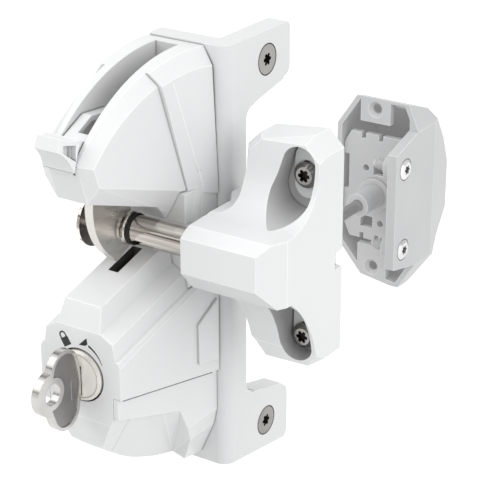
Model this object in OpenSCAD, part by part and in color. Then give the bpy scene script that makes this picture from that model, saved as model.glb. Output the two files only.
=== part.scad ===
// Key-locking gravity latch for a gate.
// A corner bracket on the post carries the latch housing, the gate carries a headed
// striker pin, and a rod through the post joins the housing to a push-button unit.
// Millimetres. X runs along the striker pin towards the gate, Y goes back through
// the post and Z is up. Pieces are drawn from the bracket's outer front corner at its
// foot, then moved so that the origin is on the wall's back face, where it rests on
// the post, in the housing's middle plane and at half of the bracket's height.

/* [Bracket] */
// Height of the bracket
bracket_h = 165; // [160:1:172]
// Thickness of the bracket's walls
bracket_t = 8; // [7:0.5:10]
// Width of the wall behind the housing
back_wall_w = 33; // [31:1:38]
// Depth of the corner bar between the two tabs
corner_bar_d = 12.7; // [11:0.1:16]
// Reach of the screw tabs behind the bracket's front
tab_reach = 41.2; // [38:0.1:48]
// Distance between the two post screws
post_screw_spacing = 145.7; // [142:0.1:150]
// Shank radius of the post screws
post_screw_r = 2.1; // [1.8:0.1:2.6]
// Head radius of the post screws
post_screw_head_r = 5.7; // [5:0.1:6.2]
// Length of the post screws
post_screw_l = 30; // [25:1:40]

/* [Housing] */
// Half of the housing's width at the bracket
side_hw = 17.5; // [17:0.1:19]
// Half of the housing's width at the nose
nose_hw = 6.4; // [6:0.1:8]
// Radius of the dome that the lever's slot runs over
dome_r = 75; // [74:0.5:76]
// Width of the slot that the lever stands in
slot_w = 10; // [9.6:0.1:12]
// Depth of the housing in front of the bracket
front_d = 59.5; // [58:0.5:62]
// Slope of the throat's floor in degrees
ramp_slope = 15.1; // [14:0.1:16]

/* [Catch and lever] */
// Distance from the bracket's front to the lever's pivot
pivot_d = 14; // [13.5:0.1:14.5]
// Height of the lever's pivot
pivot_z = 124; // [123.5:0.1:124.5]
// Radius of the pivot pin
pivot_r = 2.5; // [2:0.1:3]
// Thickness of the catch plate
catch_t = 3.5; // [3:0.1:3.8]
// Radius of the catch plate's leading edge
catch_edge_r = 24.9; // [24.5:0.1:25.3]

/* [Striker] */
// Distance from the bracket's front to the striker pin
pin_d = 30; // [29.5:0.1:30.5]
// Height of the striker pin
pin_z = 104; // [103.5:0.1:104.5]
// Radius of the striker pin
pin_r = 5.2; // [4.6:0.1:5.4]
// Radius of the pin's neck
pin_neck_r = 4.3; // [3.6:0.1:4.5]
// Radius of the pin's head
pin_head_r = 10; // [8:0.5:11]
// Height of the striker block
striker_h = 83; // [80:1:90]
// Edge of the striker block that faces away from the post
striker_x = 43; // [42:0.5:50]
// Shank radius of the gate screws
gate_screw_r = 2.2; // [1.8:0.1:2.4]

/* [Front lock] */
// Height of the lock's axis
lock_z = 58.7; // [58:0.1:60]
// Radius of the lock's barrel
barrel_r = 9.5; // [9:0.1:10]
// Radius of the lock's plug
plug_r = 8; // [7.6:0.1:8.2]
// Throw of the locking bar
lock_throw = 7; // [6.6:0.1:7.2]
// Thickness of the key
key_t = 2.2; // [2:0.1:2.6]

/* [Far side] */
// Depth of the post between the bracket and the push-button unit
post_d = 135; // [90:1:140]
// Radius of the rod through the post
rod_r = 2.5; // [2:0.1:3]
// Half of the width of the push-button unit
unit_hw = 21; // [19:0.5:23]
// Depth of the push-button unit
unit_d = 35; // [34:0.5:45]
// Radius of the push button
button_r = 8.8; // [8:0.1:9]
// Travel of the push button
button_travel = 5; // [3:0.5:5]

/* [Hidden] */
$fn = 64;

// Small overlap that lets a cut break through a face
cut = 1;
// Gap between parts that slide on each other
slide_gap = 0.3;
// Radial gap of a turning or sliding fit
run_gap = 0.05;
// Depth of a screw's thread under the radius of its shank
thread_depth = 0.3;
mid_x = -21;
white = "white";
steel = "silver";
dark = "dimgray";
grey = "lightgray";

// Heights along the bracket
screw_top_z = bracket_h - 11;
screw_low_z = screw_top_z - post_screw_spacing;
housing_screw_hw = 8.3;
housing_screw_zs = [152, 88, 26];
housing_screw_r = 1.7;
housing_screw_head_r = 3.2;

// Dome over the upper housing
dome_y = -8;
dome_z = 89.7;
nose_y = -65;
nose_foot = [-60, 123.6];
roof_slope = 0.328;
panel_foot_z = 130.5;
panel_front_y = -61.9;
dome_steps = 28;

// Throat between the two halves of the housing
throat_back = [[-27, 112.8], [-18.6, 104.9], [-17.2, 97]];
ramp_front = [-front_d + 2.9, 85.2];
ramp_hw = 7.9;

function arc(cy, cz, r, a0, a1, n) =
    [for (i = [0:n]) let (a = a0 + (a1 - a0) * i / n) [cy + r * cos(a), cz + r * sin(a)]];
function roof_z(y) = nose_foot[1] - roof_slope * (y - nose_foot[0]);
function ramp_z(y) = ramp_front[1] + tan(ramp_slope) * (y - ramp_front[0]);
function split_z(y) = 53.4 - 0.218 * (y + front_d);

// Moves a piece from the bracket's corner to the frame's origin on the bracket's back face
module placed() {
    translate([-mid_x, -bracket_t, -bracket_h / 2]) children();
}

// Extrudes an outline drawn in Y and Z from x0 to x1
module along_x(x0, x1) {
    translate([x0, 0, 0]) rotate([90, 0, 90]) linear_extrude(x1 - x0) children();
}

// Extrudes an outline drawn in X and Z from y0 to y1
module along_y(y0, y1) {
    translate([0, y1, 0]) rotate([90, 0, 0]) linear_extrude(y1 - y0) children();
}

module rod_x(x0, x1, y, z, r, r2 = undef) {
    translate([x0, y, z]) rotate([0, 90, 0]) cylinder(h = x1 - x0, r1 = r, r2 = is_undef(r2) ? r : r2);
}

module rod_y(y0, y1, x, z, r, r2 = undef) {
    translate([x, y0, z]) rotate([-90, 0, 0]) cylinder(h = y1 - y0, r1 = r, r2 = is_undef(r2) ? r : r2);
}

// Box given by its low and high corners
module block(low, high) {
    translate(low) cube(high - low);
}

// Rounds a convex corner of an outline; the turn says which way the corner points
module round_off(corner, turn, r) {
    translate(corner) rotate(turn) translate([-r, -r]) difference() {
        square(r + cut);
        circle(r);
    }
}

// Fills a concave corner of an outline
module fill_in(corner, turn, r) {
    translate(corner) rotate(turn) difference() {
        square(r);
        translate([r, r]) circle(r);
    }
}

// Convex solid through a list of points
module solid_through(points) {
    hull() polyhedron(points = points, faces = [[for (i = [0:len(points) - 1]) i]]);
}

// Bracket

corner_r = 5;
tab_edge_r = 4;
tab_top_root_z = bracket_h - 26;
tab_top_end_z = bracket_h - 20.3;
tab_low_root_z = 25.8;
tab_low_end_z = 18.6;
tab_foot_z = -5.1;
tab_screw_y = 26.3;
rod_hole_r = rod_r + run_gap;

module bracket_plan() {
    difference() {
        union() {
            translate([-back_wall_w, 0]) square([back_wall_w, bracket_t]);
            translate([-bracket_t, 0]) square([bracket_t, corner_bar_d]);
        }
        round_off([0, 0], -90, corner_r);
        round_off([-back_wall_w, 0], 180, 1.5);
    }
}

module tab_outlines() {
    difference() {
        union() {
            polygon([[corner_r, bracket_h], [tab_reach, bracket_h],
                     [tab_reach, tab_top_end_z], [corner_bar_d, tab_top_root_z],
                     [corner_r, tab_top_root_z]]);
            polygon([[corner_r, 0], [tab_reach, tab_foot_z], [tab_reach, tab_low_end_z],
                     [corner_bar_d, tab_low_root_z], [corner_r, tab_low_root_z]]);
            translate([corner_bar_d, tab_top_root_z]) rotate(-90) fill_in([-0.7, 0], 0, 5);
            fill_in([corner_bar_d, tab_low_root_z - 0.8], 0, 5);
        }
        round_off([tab_reach, bracket_h], 0, 2.5);
        round_off([tab_reach, tab_top_end_z], -90, tab_edge_r);
        round_off([tab_reach, tab_low_end_z], 0, tab_edge_r);
        round_off([tab_reach, tab_foot_z], -90, tab_edge_r);
    }
}

module bracket() {
    color(white) placed() difference() {
        union() {
            linear_extrude(bracket_h) bracket_plan();
            along_x(-bracket_t, 0) tab_outlines();
        }
        for (z = [screw_low_z, screw_top_z]) {
            rod_x(-bracket_t - cut, cut, tab_screw_y, z, post_screw_r + run_gap);
            rod_x(-post_screw_head_r + post_screw_r, 0, tab_screw_y, z, post_screw_r, post_screw_head_r);
            rod_x(-0.01, cut, tab_screw_y, z, post_screw_head_r);
        }
        rod_y(-cut, bracket_t + cut, mid_x, lock_z, rod_hole_r);
        for (z = housing_screw_zs, side = [-1, 1]) {
            rod_y(-cut, bracket_t + cut, mid_x + side * housing_screw_hw, z, housing_screw_r + run_gap);
            rod_y(bracket_t / 2, bracket_t + cut, mid_x + side * housing_screw_hw, z, housing_screw_head_r + slide_gap);
        }
    }
}

module post_screws() {
    for (z = [screw_low_z, screw_top_z]) color(dark) placed() difference() {
        union() {
            rod_x(-post_screw_l, -bracket_t, tab_screw_y, z, post_screw_r - thread_depth);
            rod_x(-bracket_t, -post_screw_head_r + post_screw_r, tab_screw_y, z, post_screw_r);
            rod_x(-post_screw_head_r + post_screw_r, 0, tab_screw_y, z, post_screw_r, post_screw_head_r);
            rod_x(-post_screw_l - 4, -post_screw_l, tab_screw_y, z, 0.3, post_screw_r - thread_depth);
        }
        star_recess_x(-2, cut, tab_screw_y, z, 2.4);
    }
}

// Six-lobed drive recess in a screw head, cut along X
module star_recess_x(x0, x1, y, z, r) {
    along_x(x0, x1) translate([y, z]) star(r);
}

module star_recess_y(y0, y1, x, z, r) {
    along_y(y0, y1) translate([x, z]) star(r);
}

module star(r) {
    circle(r * 0.66);
    for (k = [0:5]) rotate(60 * k) translate([r * 0.7, 0]) circle(r * 0.3, $fn = 16);
}

module housing_screws() {
    for (z = housing_screw_zs, side = [-1, 1]) color(steel) placed() difference() {
        union() {
            rod_y(-8, bracket_t / 2, mid_x + side * housing_screw_hw, z, housing_screw_r);
            rod_y(bracket_t / 2, bracket_t / 2 + 2, mid_x + side * housing_screw_hw, z, housing_screw_head_r);
        }
        star_recess_y(bracket_t / 2 + 0.8, bracket_t, mid_x + side * housing_screw_hw, z, 1.8);
    }
}

// Housing

back_proud = 1.6;
function top_hw(y) = nose_hw + 3.8 * (y - nose_y) / -nose_y;
side_lean = 0.04;
lean_z = 112;
function side_hw_at(y, z) = side_hw + 0.2 - back_proud - 3.9 * y / panel_front_y - side_lean * (z - lean_z);
function side_r(y) = dome_r - 3 - 3.5 * (y - panel_front_y) / -panel_front_y;

// Upper half: a dome with bevelled shoulders that narrows to a nose
lip_in = 8.6;
lip_drop = 6.9;
module upper_solid(grow) {
    a_nose = asin((dome_y - nose_y) / dome_r);
    a_back = asin(dome_y / dome_r);
    a_side = asin((dome_y - panel_front_y) / side_r(panel_front_y));
    back_low = roof_z(0);
    panel_back_z = panel_foot_z - roof_slope * 59.7;
    points = [for (s = [-1, 1]) each concat(
        [for (i = [0:dome_steps]) let (a = a_back + (a_nose - a_back) * i / dome_steps,
                                       y = dome_y - dome_r * sin(a))
            [mid_x + s * (top_hw(y) + grow), y, dome_z + dome_r * cos(a)]],
        [for (i = [0:dome_steps]) let (a = a_back + (a_side - a_back) * i / dome_steps,
                                       y0 = dome_y - dome_r * sin(a), r = side_r(y0),
                                       y = dome_y - r * sin(a))
            [mid_x + s * (side_hw_at(y, dome_z + r * cos(a)) + grow), y, dome_z + r * cos(a)]],
        [[mid_x + s * nose_hw, nose_foot[0], nose_foot[1]],
         [mid_x + s * (side_hw_at(-59.7, panel_foot_z) + grow), -59.7, panel_foot_z],
         [mid_x + s * (side_hw_at(0, panel_back_z) + grow), 0, panel_back_z],
         [mid_x + s * (side_hw - lip_in), 0, back_low - lip_drop]])];
    intersection() {
        solid_through(points);
        block([mid_x - 30, nose_y - 5, 80], [mid_x + 30, 0, bracket_h + 5]);
    }
}

// Wider rear body; its front edge is bevelled into a band that runs from the dome to the throat
band_left = [[-33, 170], [-28.2, 158.3], [-15.8, 116.7], [-19.1, 105.1], [-19.1, 98]];
band_right = [[-26.6, 170], [-22.1, 157.6], [-8.8, 116.5], [-9.9, 104]];
band_bevel = 10;

module band_cut(low, high) {
    lean = atan2(high[0] - low[0], high[1] - low[1]);
    tilt = atan(side_lean);
    face_x = side_hw_at(low[0], low[1]) + back_proud + 0.1;
    for (s = [0, 1]) translate([mid_x, low[0], low[1]]) mirror([s, 0, 0]) rotate([-lean, 0, 0])
        translate([face_x, 0, 0]) rotate([0, -tilt, -band_bevel])
            block([0, -25, 0], [20, 0, norm(high - low)]);
}

module rear_body() {
    difference() {
        intersection() {
            along_x(mid_x - side_hw - 3, mid_x + side_hw + 3)
                polygon(concat(band_left, [[0, 98], [0, 170]]));
            union() {
                upper_solid(back_proud);
                block([mid_x - side_hw + 0.6, -30, 90], [mid_x + side_hw - 0.6, 0, 122]);
            }
        }
        band_cut(band_right[2], band_right[0]);
        band_cut(band_right[3], band_right[2]);
    }
}

// Lower half: steps that run up along the throat's floor
ramp_steps = [[0, 0], [ramp_hw, 0], [9.3, -7.5], [14.5, -10.3], [15.6, -16.2], [16.6, -16.6]];
foot_z = 31.2;
foot_y = -57.3;
foot_back_z = 3.5;
foot_sag = 5;

function foot_curve(n) = [for (i = [0:n]) let (t = i / n)
    [foot_y * (1 - t) - foot_sag * 1.7 * t * (1 - t),
     foot_z + (foot_back_z - foot_z) * t - foot_sag * 3.4 * t * (1 - t)]];

module lower_profile() {
    polygon(concat([[0, 120], [-20, 120], [ramp_front[0], ramp_front[1] + 3],
                    [ramp_front[0], ramp_front[1]], [-front_d, 76.5], [-front_d, 42]],
                   foot_curve(12), [[0, foot_back_z]]));
}

module lower_section(hw) {
    right = concat(ramp_steps, [[hw, -18.2], [hw, -95]]);
    left = [for (i = [len(right) - 1:-1:1]) [-right[i][0], right[i][1]]];
    polygon(concat(right, left));
}

// Widths near the foot, seen from the front
module foot_outline(hw) {
    right = [[8.6, 0], [8.6, 3], [hw - 1.5, 17], [hw, 24], [hw, 130]];
    left = [for (i = [len(right) - 1:-1:0]) [-right[i][0], right[i][1]]];
    translate([mid_x, 0]) polygon(concat(right, left));
}

// Large slanting recess low on each side, with a ramp at its rear end
facet_hw = 16.3;
facet_step = 2;
function facet_top(y) = 46 - 0.344 * (y + 61);
module side_facet(s) {
    drop = 1.875;
    inner_hw = facet_hw - facet_step;
    far = 30;
    deep = 2;
    below = -20;
    y_front = -70;
    y_back = -23.7;
    y_low = -21.6;
    y_in = -9.4;
    function pt(hw, y, z) = [mid_x + s * hw, y, z];
    solid_through([
        pt(inner_hw, y_front, facet_top(y_front)),
        pt(far, y_front, facet_top(y_front)),
        pt(deep, y_front, facet_top(y_front) - drop * (inner_hw - deep)),
        pt(inner_hw, y_back - 7.2, facet_top(y_back - 7.2)),
        pt(facet_hw, y_back, facet_top(y_back)), pt(far, y_back, facet_top(y_back)),
        pt(facet_hw, y_low, 19.8), pt(far, y_low, 19.8),
        pt(deep, y_in, 5.1),
        pt(far, y_front, below), pt(far, y_low, below), pt(facet_hw, y_low, below),
        pt(deep, y_front, below), pt(deep, y_in, below)]);
}

module lower_solid(hw) {
    difference() {
        intersection() {
            translate([mid_x, ramp_front[0], ramp_front[1]]) rotate([ramp_slope, 0, 0])
                along_y(-20, 95) lower_section(hw);
            along_x(mid_x - 30, mid_x + 30) lower_profile();
            along_y(-80, 0) foot_outline(hw);
        }
        for (s = [-1, 1]) side_facet(s);
    }
}

// Front wall under the split line, which the lower cover wraps round
wall_hw = 14;
wall_back = -front_d + 9;
boss_r = barrel_r + 2.5;
barrel_back = -31;

module front_wall(gap) {
    block([mid_x - wall_hw - gap, -80, 10], [mid_x + wall_hw + gap, wall_back + gap, 60]);
    rod_y(-80, barrel_back + gap, mid_x, lock_z, boss_r + gap);
}

module above_split() {
    along_x(mid_x - 30, mid_x + 30)
        polygon([[-80, split_z(-80)], [0, split_z(0)], [0, 130], [-80, 130]]);
}

pad = [[-14.1, 64.3], [-2, 70.4], [-2, 46.1], [-13.8, 48.5]];
pad_proud = 1;

module housing_outside() {
    difference() {
        union() {
            upper_solid(0);
            rear_body();
            block([mid_x - side_hw + 1, -19, 80], [mid_x + side_hw - 1, 0, 116]);
        }
        along_x(mid_x - 40, mid_x + 40)
            polygon(concat([[-80, roof_z(-80)]], throat_back, [[-17.2, 60], [-80, 60]]));
    }
    intersection() {
        lower_solid(side_hw);
        above_split();
    }
    intersection() {
        lower_solid(facet_hw);
        front_wall(0);
    }
    along_x(mid_x - side_hw - pad_proud, mid_x + side_hw + pad_proud) polygon(pad);
}

// Room inside the upper housing, open along the dome
cavity_end = -5;
cavity_floor = 113.5;
roof_t = 2.8;
nose_mouth_z = 134.9;
module slot_room() {
    along_x(mid_x - slot_w / 2, mid_x + slot_w / 2)
        polygon([[cavity_end, 180], [cavity_end, cavity_floor], [-24.5, cavity_floor],
                 [-27, roof_z(-27) + roof_t], [-56, roof_z(-56) + roof_t],
                 [-57.5, nose_mouth_z], [-80, nose_mouth_z], [-80, 180]]);
}

// Catch plate lies just on the near side of the middle
catch_x0 = mid_x - 2.5;
catch_x1 = catch_x0 + catch_t;
catch_gap = 0.4;

// Locking bar and its channel
bar_x = [catch_x0 + slide_gap, catch_x1 - slide_gap];
bar_y = [-pivot_d - 1, -pivot_d + 1];
gear_room_hw = 13;
gear_room_z = [30, lock_z + 12];

pivot_end = mid_x + side_hw - 4;
pivot_start = mid_x - side_hw + 2;
module housing() {
    color(white) placed() difference() {
        housing_outside();
        slot_room();
        block([catch_x0 - catch_gap, -53.5, 105], [catch_x1 + catch_gap, -27.5, 130]);
        block([catch_x0 - catch_gap, -38.6, 82], [catch_x1 + catch_gap, -24, 105]);
        block([mid_x - gear_room_hw, barrel_back, gear_room_z[0]],
              [mid_x + gear_room_hw, cut, gear_room_z[1]]);
        rod_x(mid_x - side_hw - 1, mid_x - 12.5, -pin_d, pin_z, pin_head_r + 1.2);
        block([bar_x[0] - slide_gap, bar_y[0] - slide_gap, lock_z],
              [bar_x[1] + slide_gap, bar_y[1] + slide_gap, cavity_floor + cut]);
        rod_x(mid_x - side_hw - 4, pivot_end, -pivot_d, pivot_z, pivot_r + run_gap);
        rod_y(-80, barrel_back + cut, mid_x, lock_z, barrel_r + run_gap);
        rod_y(-80, -front_d + 1.5, mid_x, lock_z, barrel_r + 0.6);
        for (z = housing_screw_zs, side = [-1, 1])
            rod_y(-8.5, cut, mid_x + side * housing_screw_hw, z, housing_screw_r + run_gap);
    }
}

// Lower cover
cover_wall = 2.2;
cover_gap = 0.15;
module lower_cover() {
    color(white) placed() difference() {
        intersection() {
            lower_solid(facet_hw);
            along_x(mid_x - 30, mid_x + 30)
                polygon([[-80, split_z(-80) - cover_gap], [0, split_z(0) - cover_gap], [0, -20], [-80, -20]]);
        }
        front_wall(cover_gap);
        along_x(mid_x - 7, mid_x + 7)
            polygon([[wall_back - cut, 35], [-37, 30.5], [-30, 27], [-11, 20.5], [-11, 60], [wall_back - cut, 60]]);
        along_x(mid_x - facet_hw + cover_wall, mid_x + facet_hw - cover_wall)
            polygon([[wall_back - cut, split_z(wall_back) - 4], [-11, split_z(-11) - 4],
                     [-11, 60], [wall_back - cut, 60]]);
        for (side = [-1, 1])
            rod_y(-8.5, cut, mid_x + side * housing_screw_hw, housing_screw_zs[2], housing_screw_r + run_gap);
    }
}

module pivot_pin() {
    color(steel) placed() rod_x(pivot_start, pivot_end, -pivot_d, pivot_z, pivot_r);
}

// Catch plate, with a notch for the bar when the lever rests and one when it is lifted

lift = 35;
drum_r = 5;
hub_r = 8.5;
notch_r = 6.4;
notch_hw = 1 + slide_gap;
nest_r = 6.2;
catch_edge_mid = [-25.8, 116.5];
catch_rear_y = -29.5;
rivet_r = 1.6;
rivets = [[-30, 127], [-42, 130]];

module catch_plate() {
    tip = [-38.3, 94.2];
    color(steel) placed() difference() {
        union() {
            along_x(catch_x0, catch_x1) polygon(concat(
                arc(catch_edge_mid[0], catch_edge_mid[1], catch_edge_r, 232, 145, 24),
                [[-38, 138], [-pivot_d - 1.5, pivot_z + hub_r - 0.4],
                 [-pivot_d - 1.5, 117], [catch_rear_y, 117]],
                [for (i = [0:20]) let (a = 85 + 177 * i / 20)
                    [-pin_d + nest_r * cos(a), pin_z + nest_r * sin(a)]],
                [[-37.2, 94.2], tip]));
            rod_x(catch_x0, catch_x1, -pivot_d, pivot_z, hub_r);
        }
        rod_x(catch_x0 - cut, catch_x1 + cut, -pivot_d, pivot_z, drum_r + run_gap);
        for (a = [0, lift]) translate([catch_x0 - cut, -pivot_d, pivot_z]) rotate([a, 0, 0])
            block([0, -notch_hw, -hub_r - 6], [catch_t + 2 * cut, notch_hw, -notch_r]);
        for (r = rivets) rod_x(catch_x0 - cut, catch_x1 + cut, r[0], r[1], rivet_r + run_gap);
    }
}

module catch_rivets() {
    for (r = rivets) color(steel) placed() {
        rod_x(catch_x0 - web_t, catch_x1 + 0.8, r[0], r[1], rivet_r);
        rod_x(catch_x1, catch_x1 + 0.8, r[0], r[1], rivet_r + 1.2);
    }
}

// Lever

arm_hw = slot_w / 2 - 0.4;
web_t = 2.1;
flange_w = 4;
flange_t = 2;
thumb_hw = 6.7;
arm_top = [[-19, 128.5], [-27, 138], [-35.3, 148.8], [-47.5, 149.8], [-58, 144.8]];

module web_outline() {
    difference() {
        union() {
            polygon(concat([[-pivot_d, pivot_z + drum_r]], arm_top,
                           [[-58, 135.4], [-52, 131], [-40, 124], [-27, 120.5], [-pivot_d, pivot_z - drum_r]]));
            translate([-pivot_d, pivot_z]) circle(drum_r);
        }
        translate([-pivot_d, pivot_z]) circle(pivot_r + run_gap);
        for (r = rivets) translate(r) circle(rivet_r + run_gap);
    }
}

module flange_outline() {
    lower = [for (i = [len(arm_top) - 1:-1:1]) arm_top[i] - [0, flange_t]];
    polygon(concat([for (i = [1:len(arm_top) - 1]) arm_top[i]], lower));
}

tip_hw = 4.7;
module thumb_tab() {
    difference() {
        solid_through([for (s = [-1, 1]) each [
            [mid_x + s * thumb_hw, -62, 146.9], [mid_x + s * thumb_hw, -63.4, 147.6],
            [mid_x + s * tip_hw, -70.6, 149.5], [mid_x + s * (tip_hw + 0.4), -72.4, 145],
            [mid_x + s * thumb_hw, -66.6, 136.2], [mid_x + s * thumb_hw, -62, 137]]]);
        rod_x(mid_x - slot_w, mid_x + slot_w, -64.1, 160.1, 12.4);
        rod_x(mid_x - slot_w, mid_x + slot_w, -81, 132.7, 15.2);
        rod_x(mid_x - slot_w, mid_x + slot_w, -pivot_d, pivot_z, 53.8);
        for (s = [0, 1]) translate([mid_x, 0, 0]) mirror([s, 0, 0])
            along_x(thumb_hw - 3.4, thumb_hw + cut) polygon([[-64.8, 145.9], [-69.8, 147], [-70.4, 144.6], [-65.4, 140.4]]);
    }
}

module lever() {
    color(white) placed() {
        difference() {
            rod_x(mid_x - arm_hw, mid_x + arm_hw, -pivot_d, pivot_z, drum_r);
            rod_x(mid_x - arm_hw - cut, mid_x + arm_hw + cut, -pivot_d, pivot_z, pivot_r + run_gap);
        }
        along_x(catch_x0 - web_t, catch_x0) web_outline();
        along_x(mid_x - arm_hw, mid_x - arm_hw + flange_w) flange_outline();
        along_x(mid_x - arm_hw, mid_x + arm_hw)
            polygon([[-55, 146.2], [-58, 144.8], [-63, 147], [-65, 146.4], [-66, 137.5], [-65, 135.4], [-57.6, 135.4]]);
        thumb_tab();
    }
}

// Lock

face_y = -front_d - 1.3;
grip_y = face_y - 10.8;
plug_back = barrel_back - 0.2;
cam_y = [-21, -18];
cam_e = lock_throw / sqrt(2);
cam_pin_r = 1.5;
tail_r = 3.5;
spigot = 3.6;
clip_y = [barrel_back, barrel_back + 1.2];
clip_r = [8.8, 11.5];
keyway_z = [lock_z - 7.3, lock_z + 3.9];
key_gap = 0.15;

module lock_barrel() {
    color(steel) placed() difference() {
        union() {
            rod_y(face_y + 0.8, clip_y[0], mid_x, lock_z, barrel_r);
            rod_y(face_y, face_y + 0.8, mid_x, lock_z, barrel_r - 1, barrel_r);
            rod_y(clip_y[0] - cut, clip_y[1], mid_x, lock_z, clip_r[0]);
            rod_y(clip_y[1], clip_y[1] + 1.2, mid_x, lock_z, barrel_r);
        }
        rod_y(-80, 0, mid_x, lock_z, plug_r + run_gap);
    }
}

module barrel_clip() {
    color(dark) placed() difference() {
        rod_y(clip_y[0], clip_y[1], mid_x, lock_z, clip_r[1]);
        rod_y(clip_y[0] - cut, clip_y[1] + cut, mid_x, lock_z, clip_r[0] + run_gap);
        block([mid_x - 5, clip_y[0] - cut, lock_z - 13], [mid_x + 5, clip_y[1] + cut, lock_z - 7]);
    }
}

module lock_plug() {
    color(steel) placed() difference() {
        union() {
            rod_y(face_y + 0.2, plug_back, mid_x, lock_z, plug_r);
            rod_y(plug_back - cut, cam_y[0], mid_x, lock_z, tail_r);
            block([mid_x - spigot / 2, cam_y[0] - cut, lock_z - spigot / 2],
                  [mid_x + spigot / 2, cam_y[1], lock_z + spigot / 2]);
        }
        block([mid_x - key_t / 2 - key_gap, -80, keyway_z[0]],
              [mid_x + key_t / 2 + key_gap, plug_back - 2.5, keyway_z[1]]);
        rod_y(cam_y[1] - 6, cam_y[1] + cut, mid_x, lock_z, 1.1);
    }
}

module lock_cam() {
    pin_x = mid_x + cam_e * cos(45);
    pin_z0 = lock_z - cam_e * sin(45);
    color(steel) placed() {
        difference() {
            rod_y(cam_y[0], cam_y[1], mid_x, lock_z, cam_e + 2.6);
            block([mid_x - spigot / 2, cam_y[0] - cut, lock_z - spigot / 2],
                  [mid_x + spigot / 2, cam_y[1] + cut, lock_z + spigot / 2]);
        }
        rod_y(cam_y[1] - 1, bar_y[1] + 0.4, pin_x, pin_z0, cam_pin_r);
    }
}

module cam_screw() {
    color(steel) placed() {
        rod_y(cam_y[1] - 6, cam_y[1], mid_x, lock_z, 1.1);
        difference() {
            rod_y(cam_y[1], cam_y[1] + 1.6, mid_x, lock_z, 3);
            star_recess_y(cam_y[1] + 0.7, cam_y[1] + 3, mid_x, lock_z, 1.6);
        }
    }
}

bar_top_z = pivot_z - notch_r - slide_gap - lock_throw;
foot_x1 = mid_x + cam_e + cam_pin_r + 1;
foot_mid_z = lock_z - cam_e * sin(45);
foot_hh = 4.8;
pin_slot_gap = 0.25;

module locking_bar() {
    color(steel) placed() difference() {
        union() {
            block([bar_x[0], bar_y[0], foot_mid_z], [bar_x[1], bar_y[1], bar_top_z]);
            block([bar_x[0], bar_y[0], foot_mid_z - foot_hh], [foot_x1, bar_y[1], foot_mid_z + foot_hh]);
        }
        block([mid_x + cam_e * cos(45) - cam_pin_r - 0.4, bar_y[0] - cut, foot_mid_z - cam_pin_r - pin_slot_gap],
              [mid_x + cam_e + cam_pin_r + 0.3, bar_y[1] + cut, foot_mid_z + cam_pin_r + pin_slot_gap]);
    }
}

// Key

bow_mid_z = lock_z - 1.5;
blade_mid_z = lock_z - 3.2;
blade_h = 7.6;
blade_start = grip_y + 5.6;
blade_tip = face_y + 26.8;
blade_point = 3;
bow_t = 3;
bow_gap = 0.5;
bow_reach = 7.9;
bow_end_r = 7.2;
bow_side_r = 9.4;
ring_mid = [grip_y - 4.7, lock_z - 0.1];
ring_r = [3.9, 8];
bow_field = 0.5;
bow_rim = 1.3;

module bow_outline(inset) {
    hull() {
        for (side = [-1, 1]) translate([grip_y + 2.2, bow_mid_z + side * bow_reach]) circle(bow_end_r - inset);
        translate([grip_y + 1.6, bow_mid_z]) circle(bow_side_r - inset);
    }
}

module blade_outline() {
    cut_pitch = 4.5;
    difference() {
        polygon([[blade_start, blade_mid_z - blade_h / 2], [blade_tip - blade_point, blade_mid_z - blade_h / 2],
                 [blade_tip, blade_mid_z], [blade_tip - blade_point, blade_mid_z + blade_h / 2],
                 [blade_start, blade_mid_z + blade_h / 2]]);
        for (i = [0:4]) translate([blade_tip - 4 - cut_pitch * i, blade_mid_z + blade_h / 2]) rotate(45)
            square(1.6 + 0.5 * (i % 3), center = true);
    }
}

module key() {
    color(steel) placed() {
        difference() {
            along_x(mid_x - key_t / 2, mid_x + key_t / 2) blade_outline();
            along_x(mid_x + 0.5, mid_x + key_t) translate([face_y - 1.2, blade_mid_z - 0.8]) square([28, 1.6]);
        }
        difference() {
            along_x(mid_x - bow_t / 2, mid_x + bow_t / 2) difference() {
                union() {
                    bow_outline(0);
                    translate(ring_mid) circle(ring_r[1]);
                }
                translate(ring_mid) circle(ring_r[0]);
                translate([face_y - bow_gap, bow_mid_z - 30]) square([20, 60]);
            }
            for (s = [-1, 1]) translate([mid_x + s * bow_t / 2, 0, 0])
                along_x(-bow_field, bow_field) difference() {
                    bow_outline(bow_rim);
                    translate(ring_mid) circle(ring_r[1] - 2);
                }
        }
    }
}

// Striker on the gate

arm_front_y = -38;
wing_y = -8;
striker_back_y = 8;
striker_mid_z = 98;
pocket_x = striker_x - 9;
seat_r = 5;
floor_y = 1;
seat_t = 1.5;
gate_screw_z = [striker_mid_z + 27.9, striker_mid_z - 32.9];
// Recesses round the screws: centre and radius of each one's low and high end
recesses = [[[pocket_x - 0.7, 120.9, 8.1], [pocket_x + 1.2, 131.7, 6.5]],
            [[pocket_x + 1, 65, 6.6], [pocket_x + 2, 82, 7]]];
seat_z = [[117, 136.6], [60, 79.5]];
// Hollow curves of the striker's left side, above and below the arm
cove_top = [[-5, 113.4], [8, 113.2], [12, 113.6], [13.8, 115], [14.3, 117.4], [14, 123], [14.9, 133.1], [-5, 133.1]];
cove_low = [[-5, 88.3], [9, 88.3], [12.9, 87], [14.6, 84], [15.3, 80], [16, 72], [16.2, 63.6], [-5, 63.6]];

// Outline seen from the gate's end, in Y and Z
striker_profile = concat(
    [[striker_back_y, 57], [wing_y, 57]],
    arc(-53.7, 51.4, 46.8, 13, 52, 10),
    [[-31, 88.3], [arm_front_y, 96], [arm_front_y, 109], [-33.3, 112.2]],
    arc(-25.5, 130, 17.3, 268, 360, 12),
    [[wing_y, 140], [striker_back_y, 140]]);

wing_right = striker_x + 0.3;
wing_low_left = [[22.2, 56.8], [16.2, 63.4], [10.9, 76], [7, 88]];
wing_mid_left = [[7, 111], [14.9, 133.1], [20.2, 138.2]];
wing_flare = 4.4;
wing_flare_y = -1.5;

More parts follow.
